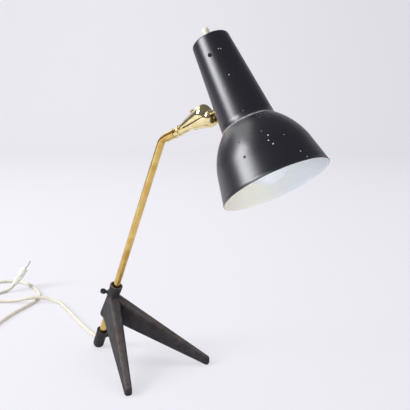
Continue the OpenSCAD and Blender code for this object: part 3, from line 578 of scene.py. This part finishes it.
def shade_outside():
    """Radius and height of the outside, from the rim to the hole in the closed end."""
    line = [(RIM_R + (FLARE_R - RIM_R) * i / FLARE_STEPS, FLARE_H * i / FLARE_STEPS)
            for i in range(FLARE_STEPS)]
    dome = circle_middle((CREASE_R, CREASE_H), DOME_MIDDLE, (FLARE_R, FLARE_H))
    dome_r = hypot(CREASE_R - dome[0], CREASE_H - dome[1])
    start = atan2(FLARE_H - dome[1], FLARE_R - dome[0])
    end = atan2(CREASE_H - dome[1], CREASE_R - dome[0])
    line += [on_circle(dome, dome_r, start + (end - start) * i / DOME_STEPS)
             for i in range(DOME_STEPS + 1)]
    shoulder = TOP_H - TOP_EDGE
    slope = (CREASE_R - TOP_R) / (TOP_H - CREASE_H)
    shoulder_r = CREASE_R - (shoulder - CREASE_H) * slope
    line += [(CREASE_R + (shoulder_r - CREASE_R) * i / NECK_STEPS,
              CREASE_H + (shoulder - CREASE_H) * i / NECK_STEPS)
             for i in range(1, NECK_STEPS + 1)]
    line += [on_circle((shoulder_r - TOP_EDGE, shoulder), TOP_EDGE, pi / 2 * i / EDGE_STEPS)
             for i in range(1, EDGE_STEPS + 1)]
    line.append(((shoulder_r - TOP_EDGE) * 0.6 + HOLE_R * 0.4, TOP_H))
    line.append((HOLE_R, TOP_H))
    return line


outside = shade_outside()
print("outline points outside:", len(outside))

# %% [markdown]
# The sheet is one millimetre thick. Solidify could give that, but then inside and outside
# would have to be told apart afterwards. Moving the outline inwards and joining the two
# with a rolled bead at the rim makes one closed outline, and each point can carry `side`,
# 1 outside and 0 inside, and `height` above the rim, which the lacquer reads.

# %% Closed outline with a rolled rim
SHEET = 1.0
BEAD_INSET, BEAD_DROP = 0.5, 0.05
BEAD_WIDE, BEAD_TALL = 0.62, 0.55
BEAD_ANGLES = range(-150, 61, 30)
BLACK_FROM = -110


def inset(line, distance):
    """The same outline moved inwards along its own normals."""
    moved = []
    for i, (r, h) in enumerate(line):
        before, after = line[max(i - 1, 0)], line[min(i + 1, len(line) - 1)]
        along = Vector((after[0] - before[0], after[1] - before[1])).normalized()
        moved.append((r - along.y * distance, h + along.x * distance))
    return moved


profile = [(r, h, 0.0) for r, h in reversed(inset(outside, SHEET)[1:])]
profile += [(RIM_R - BEAD_INSET + BEAD_WIDE * cos(radians(d)),
             -BEAD_DROP + BEAD_TALL * sin(radians(d)), 1.0 if d > BLACK_FROM else 0.0)
            for d in BEAD_ANGLES]
profile += [(r, h, 1.0) for r, h in outside[1:]]
print("points of the closed outline:", len(profile))

# %% [markdown]
# Turning an outline is a rule, so Geometry Nodes do it. The outline becomes a curve and
# is swept along a small middle circle, which turns it round the Z axis. The sweep lays the
# outline's Y downwards, so the heights go in with a minus sign and the faces are flipped
# to look outwards. The tree's inputs are the steps around and the circle's radius, and it
# ends by giving the shade its material, so the lacquer's material is made here as well.

# %% Turning tree
MIDDLE_RING = 1.0 * MM
STEPS_AROUND = 160


def turning_tree(name, material):
    """Turn a closed outline round the Z axis and give it its material."""
    tree = bpy.data.node_groups.new(name, "GeometryNodeTree")
    tree.interface.new_socket("Geometry", in_out="INPUT", socket_type="NodeSocketGeometry")
    steps = tree.interface.new_socket("Steps Around", in_out="INPUT",
                                      socket_type="NodeSocketInt")
    ring = tree.interface.new_socket("Middle Ring", in_out="INPUT",
                                     socket_type="NodeSocketFloat")
    tree.interface.new_socket("Geometry", in_out="OUTPUT", socket_type="NodeSocketGeometry")
    made = {step: tree.nodes.new(kind) for step, kind in (
        ("given", "NodeGroupInput"), ("outline", "GeometryNodeMeshToCurve"),
        ("circle", "GeometryNodeCurvePrimitiveCircle"), ("turned", "GeometryNodeCurveToMesh"),
        ("outwards", "GeometryNodeFlipFaces"), ("smooth", "GeometryNodeSetShadeSmooth"),
        ("real", "GeometryNodeRealizeInstances"), ("dressed", "GeometryNodeSetMaterial"),
        ("result", "NodeGroupOutput"))}
    made["dressed"].inputs["Material"].default_value = material
    for start, out, end, into in (
            ("given", "Geometry", "outline", "Mesh"),
            ("given", "Steps Around", "circle", "Resolution"),
            ("given", "Middle Ring", "circle", "Radius"),
            ("circle", "Curve", "turned", "Curve"),
            ("outline", "Curve", "turned", "Profile Curve"),
            ("turned", "Mesh", "outwards", "Mesh"),
            ("outwards", "Mesh", "smooth", "Geometry"),
            ("smooth", "Geometry", "real", "Geometry"),
            ("real", "Geometry", "dressed", "Geometry"),
            ("dressed", "Geometry", "result", "Geometry")):
        tree.links.new(made[start].outputs[out], made[end].inputs[into])
    return tree, steps.identifier, ring.identifier


lacquer = Look("lacquer_look")
shade_tree, steps_input, ring_input = turning_tree("turned_shade", lacquer.material)
print("nodes that turn the shade:", len(shade_tree.nodes))

# %% [markdown]
# The outline goes in as a ring of edges that carries `height` and `side`, and both travel
# along with the sweep. The evaluated result is taken out as a plain mesh and put into the
# shade's frame, so that the piece itself stays at the origin, unturned.

# %% Shade
def turn_outline(name, line, frame_matrix):
    """A piece turned from a closed outline of (radius mm, height mm, side)."""
    wire_mesh = bpy.data.meshes.new(name)
    wire_mesh.from_pydata([(r * MM - MIDDLE_RING, -h * MM, 0) for r, h, _ in line],
                          [(i, (i + 1) % len(line)) for i in range(len(line))], [])
    for key, column in (("height", 1), ("side", 2)):
        kept = wire_mesh.attributes.new(key, "FLOAT", "POINT")
        kept.data.foreach_set("value", [point[column] for point in line])
    piece = bpy.data.objects.new(name, wire_mesh)
    bpy.context.scene.collection.objects.link(piece)
    turning = piece.modifiers.new("turning", "NODES")
    turning.node_group = shade_tree
    turning[steps_input] = STEPS_AROUND
    turning[ring_input] = MIDDLE_RING
    bpy.context.view_layer.update()
    shown = piece.evaluated_get(bpy.context.evaluated_depsgraph_get())
    turned = bpy.data.meshes.new_from_object(shown)
    piece.modifiers.clear()
    piece.data = turned
    turned.transform(frame_matrix)
    return piece


shade = turn_outline("shade_skin", profile, shade_frame)
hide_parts("shade")
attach(shade, "head")
print("shade:", len(shade.data.polygons), "faces")

# %% [markdown]
# ## Lacquer
#
# The lacquer is chipped. Some chips show bright metal, some are dark pits, and a few lie
# along the crease where the shade has been knocked. Noise alone would put them anywhere,
# and these are the ones the eye looks for. So each is named by its place in the picture,
# and a ray from the camera finds its place on the shade. From then on it is a point of
# the shade and turns with the head. The third number is its radius in millimetres.

# %% Chips in the lacquer
BRIGHT_CHIPS = [
    (268.0, 135.0, 0.9), (268.3, 140.2, 0.9), (273.0, 143.7, 0.9), (300.5, 151.0, 0.7),
    (307.0, 156.5, 0.6), (229.0, 74.5, 0.7), (218.5, 48.5, 0.6), (220.8, 48.7, 0.5),
    (258.0, 112.2, 0.45), (260.6, 113.8, 0.5), (262.4, 115.6, 0.4), (259.0, 117.0, 0.35),
    (265.0, 113.6, 0.4), (268.2, 116.2, 0.35), (256.6, 115.0, 0.3), (261.5, 131.0, 0.5),
    (284.0, 134.5, 0.4), (225.5, 88.0, 0.4), (243.0, 110.5, 0.4)]
DARK_PITS = [
    (244.6, 157.0, 1.6), (239.2, 142.3, 1.1), (250.8, 133.0, 0.6), (226.0, 100.5, 0.4),
    (243.5, 150.0, 0.4)]
picture_up = picture_right.cross(view_way)


def ray_way(px, py):
    """Direction from the camera through a picture point."""
    return (view_way * FOCAL_PIXELS + picture_right * (px - PICTURE_PIXELS / 2)
            - picture_up * (py - PICTURE_PIXELS / 2)).normalized()


def chip_places(chips):
    """Place on the shade and radius in metres of each chip that the camera sees."""
    bpy.context.view_layer.update()
    found = []
    for px, py, size in chips:
        hit, spot, _, _ = shade.ray_cast(CAMERA_AT, ray_way(px, py))
        if hit:
            found.append((spot, size * MM))
    return found


bright_chips = chip_places(BRIGHT_CHIPS)
dark_pits = chip_places(DARK_PITS)
print("chips:", len(bright_chips), "pits:", len(dark_pits))

# %% [markdown]
# Outside is satin black with a purple cast. Inside is an off-white with painted light and
# shade: lighter and warmer on the side towards the arm, cooler and darker away from it. One
# material holds both, because the shell is one piece of metal, and `side` chooses between
# them. First come the masks: `height` draws a light line along the crease, part worn
# lacquer and part painted highlight, and noises break it up.

# %% Masks of the lacquer
CREASE_LINE, CREASE_SHARP = 0.1, 1.1
BROWN_SPREAD = 0.06
outer = lacquer.attribute("side").step(0.4, 0.6)
height = lacquer.attribute("height")
orange = lacquer.noise(260.0, 3.0, 0.5)
cloud = lacquer.noise(38.0, 4.0, 0.6)
dust = lacquer.noise(1500.0, 2.0, 0.6)
ragged = lacquer.noise(700.0, 3.0, 0.6) - 0.5
specks = lacquer.noise(520.0, 3.0, 0.75).step(0.745, 0.77)
chipped = lacquer.spots(bright_chips, ragged, 0.0012) + specks * 0.6
pitted = lacquer.spots(dark_pits, ragged, 0.0006)
off_line = height - CREASE_H - CREASE_LINE
crease_line = (off_line * off_line * -CREASE_SHARP).math("EXPONENT")
# Light line along the crease: part worn lacquer, part painted highlight.
crease_wear_and_highlight = (crease_line * (cloud + ragged * 0.8).step(0.28, 0.56)).clamp()
off_crease = height - CREASE_H
brown_line = (off_crease * off_crease * -BROWN_SPREAD).math("EXPONENT")
brown_wear = brown_line * cloud.step(0.6, 0.75) * 0.35
broken = (chipped + pitted).clamp()
print("nodes behind the masks:", len(lacquer.tree.nodes))

# %% [markdown]
# Then the colours are laid over each other like coats: black, brown wear, the light line
# along the crease, which is part worn lacquer and part painted highlight, and the bright
# chips. Chips and pits are also rough and a little deep. A pit stays dark even in the middle
# of a highlight, which no base colour can do, so a matt shader covers it.

# %% Black lacquer outside, off-white inside
black = lacquer.mix(cloud, rgb(20, 16, 24), rgb(27, 22, 30))
black = lacquer.mix(brown_wear, black, rgb(110, 84, 74))
# Painted highlight and worn lacquer along the crease, in a pale grey.
black = lacquer.mix(crease_wear_and_highlight * 0.8, black, rgb(176, 170, 174))
black = lacquer.mix(chipped.clamp(), black, rgb(196, 196, 200))
# Painted light and shade inside: lighter and warmer towards the arm, cooler and darker away.
across = lacquer.along(-picture_right)
painted_lit_side = (across + (cloud - 0.5) * 0.05).step(-0.28, -0.21)
white = lacquer.mix(painted_lit_side, rgb(220, 226, 230), rgb(246, 243, 230))
lacquer.set(color=lacquer.mix(outer, white, black), specular=0.85,
            rough=lacquer.blend(outer, 0.5, 0.26) + dust * 0.06 + cloud * 0.05 + broken * 0.3)
lacquer.bump(orange * 0.8 + dust * 0.2 - broken * 2.0, 0.00006, 0.6)
pit_floor = lacquer.node("ShaderNodeBsdfDiffuse", {}, {"Color": rgb(70, 48, 48)})["BSDF"]
lacquer.cover(pitted * 0.9, pit_floor)
dress(shade, lacquer)
print("lacquer nodes:", len(lacquer.tree.nodes))

# %% [markdown]
# The two screws in the neck sit in the shadow of their own holes and are painted over, so
# they are nearly black and take no shine.

# %% Neck screws
screw_black = Look("pit_look")
screw_tone = screw_black.mix(screw_black.noise(900.0), rgb(14, 10, 12), rgb(26, 20, 22))
screw_black.set(color=screw_tone, rough=0.6, specular=0.2)
dress(NODES["neck_screws"], screw_black)
print("neck screws:", screw_black.material.name)

# %% [markdown]
# ## Plastic, glass and inner parts
#
# The button, the cord, the plug, the opal bulb and everything inside the neck are plain
# stuffs without marks of their own. They share one recipe: two near colours under a slow
# noise, a roughness that follows it, and a grain too fine to see one by one. Opal glass
# scatters light below its skin, so the bulb adds a little subsurface.

# %% Plain looks
def plain(name, base, other, rough, scale, **more):
    look = Look(name)
    cloud = look.noise(scale, 3.0, 0.55)
    fine = look.noise(scale * 12, 2.0, 0.5)
    look.set(color=look.mix(cloud.step(0.3, 0.7), base, other), rough=cloud * 0.1 + rough,
             **more)
    look.bump(fine, 0.00003, 0.4)
    return look


ivory = plain("ivory_look", rgb(244, 240, 226), rgb(232, 224, 200), 0.22, 120.0)
pvc = plain("pvc_look", rgb(218, 213, 198), rgb(208, 202, 184), 0.5, 60.0, specular=0.3)
plug = plain("plug_look", rgb(236, 234, 224), rgb(222, 220, 208), 0.3, 60.0)
pins = plain("pins_look", rgb(222, 221, 214), rgb(200, 198, 190), 0.35, 160.0, metal=0.4)
tie = plain("tie_look", rgb(46, 46, 46), rgb(60, 60, 60), 0.5, 90.0)
opal = plain("opal_look", rgb(246, 246, 242), rgb(238, 239, 236), 0.16, 40.0, subsurface=0.2)
bakelite = plain("bakelite_look", rgb(20, 16, 14), rgb(34, 26, 20), 0.25, 90.0)
ceramic = plain("ceramic_look", rgb(236, 234, 226), rgb(224, 220, 210), 0.2, 90.0)
steel = plain("steel_look", rgb(176, 176, 172), rgb(150, 150, 146), 0.3, 160.0, metal=1.0)
wire = plain("wire_look", rgb(216, 212, 200), rgb(200, 195, 180), 0.5, 200.0)
PLAIN_PIECES = (
    (ivory, ("switch_button",)), (pvc, ("cord_gland",)), (plug, ("plug_body",)),
    (pins, ("plug_pins",)), (tie, ("coil_tie",)), (opal, ("bulb_glass",)),
    (bakelite, ("lampholder_cap", "lampholder_skirt", "switch_body")),
    (ceramic, ("lampholder_core",)), (wire, ("stem_wires", "knuckle_wires", "shade_wires")),
    (steel, ("inner_saddle", "stud_nut", "holder_bridge", "holder_nipple", "holder_nut",
             "bulb_cap")))
for look, nodes in PLAIN_PIECES:
    for node in nodes:
        dress(NODES[node], look)
cord.data.materials.append(pvc.material)
print("plain pieces:", sum(len(nodes) for _, nodes in PLAIN_PIECES) + 1)

# %% [markdown]
# ## Table and backdrop
#
# The lamp stands on a pale sweep that bends up behind it, so there is no horizon. The
# bend must be wide enough not to show as a line. The camera sees mostly an even pale
# glow, painted a little darker to the right as shade where the light from the left falls
# off, and for the rest the paper itself with its soft shadows. The glow is for the camera
# only and lights nothing.

# %% Sweep
SWEEP_WIDE, SWEEP_NEAR, SWEEP_FAR = 9.0, 2.2, 2.6
SWEEP_BEND, SWEEP_TALL, SWEEP_STEPS = 1.0, 3.5, 24
GLOW_SHARE = 0.62


def sweep_mesh():
    """Floor, quarter bend and wall, facing the camera."""
    line = [(-SWEEP_NEAR, 0.0), (SWEEP_FAR, 0.0)]
    for i in range(1, SWEEP_STEPS + 1):
        angle = pi / 2 * i / SWEEP_STEPS
        line.append((SWEEP_FAR + SWEEP_BEND * sin(angle), SWEEP_BEND * (1 - cos(angle))))
    line.append((SWEEP_FAR + SWEEP_BEND, SWEEP_TALL))
    corners = [-toward * d + picture_right * (SWEEP_WIDE / 2 * s) + Vector((0, 0, h))
               for d, h in line for s in (-1, 1)]
    faces = [(2 * i, 2 * i + 1, 2 * i + 3, 2 * i + 2) for i in range(len(line) - 1)]
    mesh = bpy.data.meshes.new("sweep")
    mesh.from_pydata([tuple(c) for c in corners], [], faces)
    for polygon in mesh.polygons:
        polygon.use_smooth = True
    piece = bpy.data.objects.new("sweep", mesh)
    bpy.context.scene.collection.objects.link(piece)
    return piece


sweep = sweep_mesh()
paper = Look("paper_look")
paper.set(color=rgb(214, 213, 217), rough=0.9, specular=0.05)
# Painted shade: the glow gets darker to the right, where the light from the left falls off.
tone = paper.mix(paper.along(picture_right).step(-0.9, 1.3),
                 rgb(250, 247, 254), rgb(236, 235, 243))
glow = paper.node("ShaderNodeEmission", {}, {"Color": tone, "Strength": 1.0})["Emission"]
paper.cover(paper.node("ShaderNodeLightPath")["Is Camera Ray"] * GLOW_SHARE, glow)
dress(sweep, paper)
print("sweep:", len(sweep.data.polygons), "faces")

# %% [markdown]
# ## Lights
#
# Black lacquer and polished brass are drawn by what they mirror. The key light is a tall
# soft box to the left of the camera: it makes the bright band down the neck and the
# rounded patch on the dome. A top light and a card behind on the left are the other two
# things that are mirrored. The card only shows in mirrors, because brass without it goes
# dark along the knuckle. Fill, low and back light shape and shadow only. They are kept
# out of mirrors, or the dark side of the shade would turn grey.

# %% Lights
def soft_light(name, place, target, size, power, colour=(1, 1, 1)):
    """A rectangle of light at a place, aimed at a target; power in watts."""
    data = bpy.data.lights.new(name, "AREA")
    data.shape = "RECTANGLE"
    data.size, data.size_y = size
    data.energy = power
    data.color = colour
    lamp = bpy.data.objects.new(name, data)
    lamp.location = place
    lamp.rotation_euler = (Vector(target) - Vector(place)).to_track_quat("-Z", "Y").to_euler()
    bpy.context.scene.collection.objects.link(lamp)
    return lamp


left = -picture_right
up = Vector((0, 0, 1))
middle = Vector((0.2, 0, 0.25))
KEY_TINT = (0.94, 0.96, 1.0)
key = soft_light("key", middle + left * 2.6 + toward * 0.72 + up * 1.5, middle,
                 (1.2, 1.7), 88, KEY_TINT)
fill = soft_light("fill", middle - left * 1.2 - toward * 0.4 + up * 2.4, middle,
                  (4.0, 3.0), 15)
low = soft_light("low", middle + toward * 1.3 - left * 0.35 - up * 0.08,
                 middle + up * 0.08, (1.0, 0.25), 6.5)
top = soft_light("top", middle + left * 1.6 - toward * 0.6 + up * 2.1, middle,
                 (1.9, 1.5), 17)
back = soft_light("back", middle - toward * 1.4 + up * 2.2, middle - toward * 2.4,
                  (3.0, 2.0), 26)
card = soft_light("card", middle + left * 1.25 - toward * 2.0 + up * 1.15, middle,
                  (1.5, 1.1), 6)
card.visible_camera = False
card.visible_diffuse = False
for unseen in (fill, low, back):
    unseen.visible_glossy = False
print("lights:", [light.name for light in (key, fill, low, top, back, card)])

# %% [markdown]
# The world answers three kinds of ray in three ways: the camera sees the same pale tone
# as the sweep's, mirrors see a dim cool room, and everything else is lit by a plain soft
# grey. Without the split either the lacquer would turn grey or the background would.

# %% World
world = bpy.data.worlds.new("room")
bpy.context.scene.world = world
world.use_nodes = True
world_tree = world.node_tree


def room_tone(node, colour, strength):
    """Set a background node and return its shader."""
    node.inputs["Color"].default_value = colour
    node.inputs["Strength"].default_value = strength
    return node.outputs[0]


def choose(ray, usual, then):
    """The shader then for this kind of ray, and the usual one for all others."""
    rays = world_tree.nodes.new("ShaderNodeLightPath")
    chosen = world_tree.nodes.new("ShaderNodeMixShader")
    for socket, source in zip(chosen.inputs, (rays.outputs[ray], usual, then)):
        world_tree.links.new(source, socket)
    return chosen.outputs[0]


soft_room = room_tone(world_tree.nodes["Background"], (0.92, 0.92, 0.98, 1), 0.40)
dim_room = room_tone(world_tree.nodes.new("ShaderNodeBackground"), (0.75, 0.8, 1.0, 1), 0.21)
pale_room = room_tone(world_tree.nodes.new("ShaderNodeBackground"), rgb(240, 238, 245), 1.0)
room = choose("Is Camera Ray", choose("Is Glossy Ray", soft_room, dim_room), pale_room)
world_tree.links.new(room, world_tree.nodes["World Output"].inputs["Surface"])
bpy.context.scene.view_settings.view_transform = "Standard"
print("world nodes:", len(world_tree.nodes))

# %% [markdown]
# ## Sizes before and after
# The box of the packed model and the box of what is shown should agree to a few tenths of a
# millimetre.
